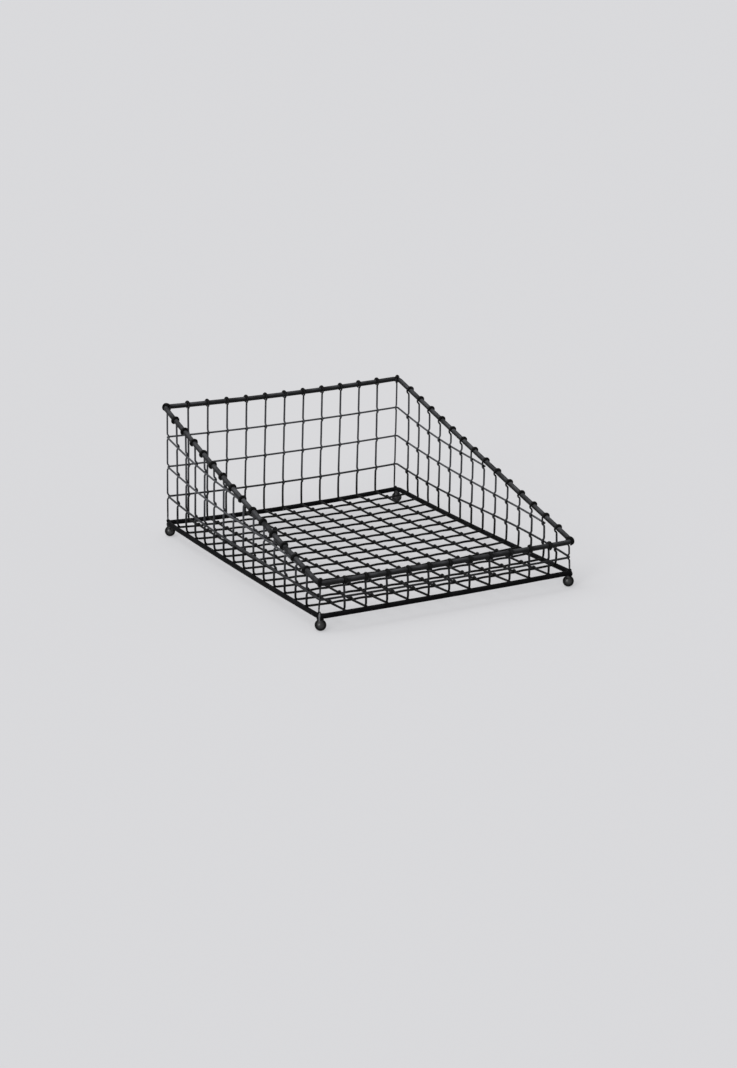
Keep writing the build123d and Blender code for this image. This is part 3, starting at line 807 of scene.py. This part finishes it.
def ring_welds():
    """Where an upright steps in behind a ring wire."""
    inset = CROSSING / 2
    ends = [(Vector((x, sy * (WALL_Y - inset), z)), X_DIR, Y_DIR * sy, RING_LUMP)
            for x in LONG_WIRE_PLACES for sy in (-1, 1) for z in ring_heights(sy * WALL_Y)]
    sides = [(Vector((sx * (WALL_X - inset), y, z)), Y_DIR, X_DIR * sx, RING_LUMP)
             for y in CROSS_WIRE_PLACES for sx in (-1, 1) for z in ring_heights(y)]
    return ends + sides


def seat_welds():
    """Where the bend of each wire rests on the base frame rod."""
    def seat(centre, outward, along):
        up = Z_DIR * sin(SEAT_ANGLE) - outward * cos(SEAT_ANGLE)
        return centre + up * ROD_R, along, up, SEAT_LUMP

    ends = [seat(Vector((x, sy * END_Y, BASE_Z)), Y_DIR * sy, X_DIR)
            for x in LONG_WIRE_PLACES for sy in (-1, 1)]
    sides = [seat(Vector((sx * SIDE_X, y, BASE_Z)), X_DIR * sx, Y_DIR)
             for y in CROSS_WIRE_PLACES for sx in (-1, 1)]
    return ends + sides


def hook_creases():
    """Rows along the paint that fills the creases between each hook and the rim rod."""
    def crease(rod, outward, upward, lift, radius):
        points = arc(rod, outward * -1, upward, ROD_R + lift, CREASE_TURN, CREASE_BEGIN)
        radii = [radius * part for part in tapered(len(points), *CREASE_TAPER)]
        return points, {"radius": radii, "rub": [0.0] * len(points), "gather": [1.0] * len(points)}, False

    ends = [crease(Vector((x, sy * END_Y, rim_z(sy * END_Y))), Y_DIR * sy, Z_DIR, *CREASE)
            for x in LONG_WIRE_PLACES for sy in (-1, 1)]
    sides = [crease(Vector((sx * SIDE_X, y - LEAN_SHIFT, rim_z(y - LEAN_SHIFT))), X_DIR * sx, RIM_UP, *CREASE)
             for y in CROSS_WIRE_PLACES for sx in (-1, 1)]
    corners = [crease(rim_corner(sx, sy), outward_from(sx, sy), Z_DIR, *CORNER_CREASE)
               for sx, sy in CORNERS.values()]
    return ends + sides + corners


def corner_welds():
    """Round each corner post's lower end, over the base frame's outer side and down to the foot's neck."""
    lumps = []
    for corner, (sx, sy) in CORNERS.items():
        outward, rod = outward_from(sx, sy), base_corner(sx, sy)
        post_end = rod + POST_LEAN[corner] * POST_LUMP_LEAN + Z_DIR * (ROD_R - POST_LUMP_SINK)
        rod_side = rod + outward * CORNER_LUMP_OUT + Z_DIR * -CORNER_LUMP_DROP
        lumps.append((post_end, Z_DIR, outward, POST_LUMP))
        lumps.append((rod_side, Z_DIR, outward, CORNER_LUMP))
    return lumps


def weld_run():
    """A pale run of weld outside the front left corner, from the top of the base frame down to the ball."""
    outward, rod = outward_from(*CORNERS["front_left"]), base_corner(*CORNERS["front_left"])
    points = [rod + outward * out + Z_DIR * rise for out, rise in RUN_LINE]
    radii = tapered(len(points), *RUN_TAPER)
    return [(points, {"radius": radii, "rub": [1.0] * len(points), "gather": [1.0] * len(points)}, False)]


welds("floor_welds", floor_welds(), seed=101)
welds("ring_welds", ring_welds(), seed=102)
welds("seat_welds", seat_welds(), seed=103)
swept("hook_creases", hook_creases(), OWN_R, WELD_PAINT, CREASE_WANDER, CREASE_UNEVEN, 104,
      WELD_SIDES)
# The corner welds take the darker base frame paint, with its painted shade.
welds("corner_welds", corner_welds(), seed=105, paint=SHADED_BASE_PAINT)
swept("weld_run", weld_run(), RUN_R, PALE_RUN_PAINT, RUN_WANDER, RUN_UNEVEN, 106, WELD_SIDES)


# ---- Floor, light and camera ----
def pale_floor():
    """A wide plain floor, seen partly at its flat colour, so that the shadow on it stays faint."""
    mesh = bpy.data.meshes.new("floor")
    corners = [(sx * FLOOR_HALF, sy * FLOOR_HALF, 0) for sx, sy in ((-1, -1), (1, -1), (1, 1), (-1, 1))]
    mesh.from_pydata(corners, [], [(0, 1, 2, 3)])
    piece = bpy.data.objects.new("floor", mesh)
    bpy.context.scene.collection.objects.link(piece)
    paint = bpy.data.materials.new("pale floor")
    paint.use_nodes = True
    tree = paint.node_tree
    tree.nodes.clear()
    lit = place(tree, "ShaderNodeBsdfDiffuse", {"Color": (*FLOOR_COLOR, 1)}).outputs[0]
    flat = place(tree, "ShaderNodeEmission", {"Color": (*FLOOR_COLOR, 1), "Strength": 1.0}).outputs[0]
    ray = place(tree, "ShaderNodeLightPath").outputs
    seen = maths(tree, "MAXIMUM", ray["Is Camera Ray"], maths(tree, "MAXIMUM", ray["Is Glossy Ray"],
                                                              ray["Is Transmission Ray"]))
    flatness = maths(tree, "MULTIPLY", seen, FLOOR_FLATNESS)
    mixed = place(tree, "ShaderNodeMixShader", {0: flatness, 1: lit, 2: flat})
    place(tree, "ShaderNodeOutputMaterial", {"Surface": mixed.outputs[0]})
    mesh.materials.append(paint)


def broad_lamp(name, level, spread, shines_from):
    """A soft lamp far away, as wide as its spread."""
    lamp = bpy.data.lights.new(name, "SUN")
    lamp.energy, lamp.angle = level, spread
    holder = bpy.data.objects.new(name, lamp)
    bpy.context.scene.collection.objects.link(holder)
    holder.rotation_euler = (-Vector(shines_from)).to_track_quat("-Z", "Y").to_euler()


def studio_light():
    """Even light from all round, a broad soft lamp overhead and a narrower one at the front left."""
    world = bpy.data.worlds.new("studio")
    bpy.context.scene.world = world
    world.use_nodes = True
    sky = world.node_tree.nodes["Background"]
    sky.inputs["Color"].default_value = (1.0, 1.0, 1.0, 1)
    sky.inputs["Strength"].default_value = SKY_LEVEL
    broad_lamp("overhead_lamp", LAMP_LEVEL, OVERHEAD_SPREAD, OVERHEAD_FROM)
    broad_lamp("front_lamp", LAMP_LEVEL, FRONT_SPREAD, FRONT_FROM)


def studio_camera():
    """A camera at the front left and a little higher, turned to the tray at the height of its base frame."""
    back = Vector((sin(AZIMUTH) * cos(ELEVATION), -cos(AZIMUTH) * cos(ELEVATION), sin(ELEVATION)))
    right = Z_DIR.cross(back).normalized()
    up = back.cross(right)
    camera = bpy.data.cameras.new("camera")
    camera.sensor_width = SENSOR
    camera.lens = SENSOR * FOCAL_PX / LONG_SIDE_PX
    camera.clip_end = FAR_CLIP
    viewer = bpy.data.objects.new("camera", camera)
    bpy.context.scene.collection.objects.link(viewer)
    stand = back * DISTANCE - right * OFF_RIGHT - up * OFF_UP + Z_DIR * BASE_Z * MM
    viewer.matrix_world = Matrix.Translation(stand) @ Matrix((right, up, back)).transposed().to_4x4()
    bpy.context.scene.camera = viewer


pale_floor()
studio_light()
studio_camera()
bpy.context.scene.view_settings.view_transform = "Standard"
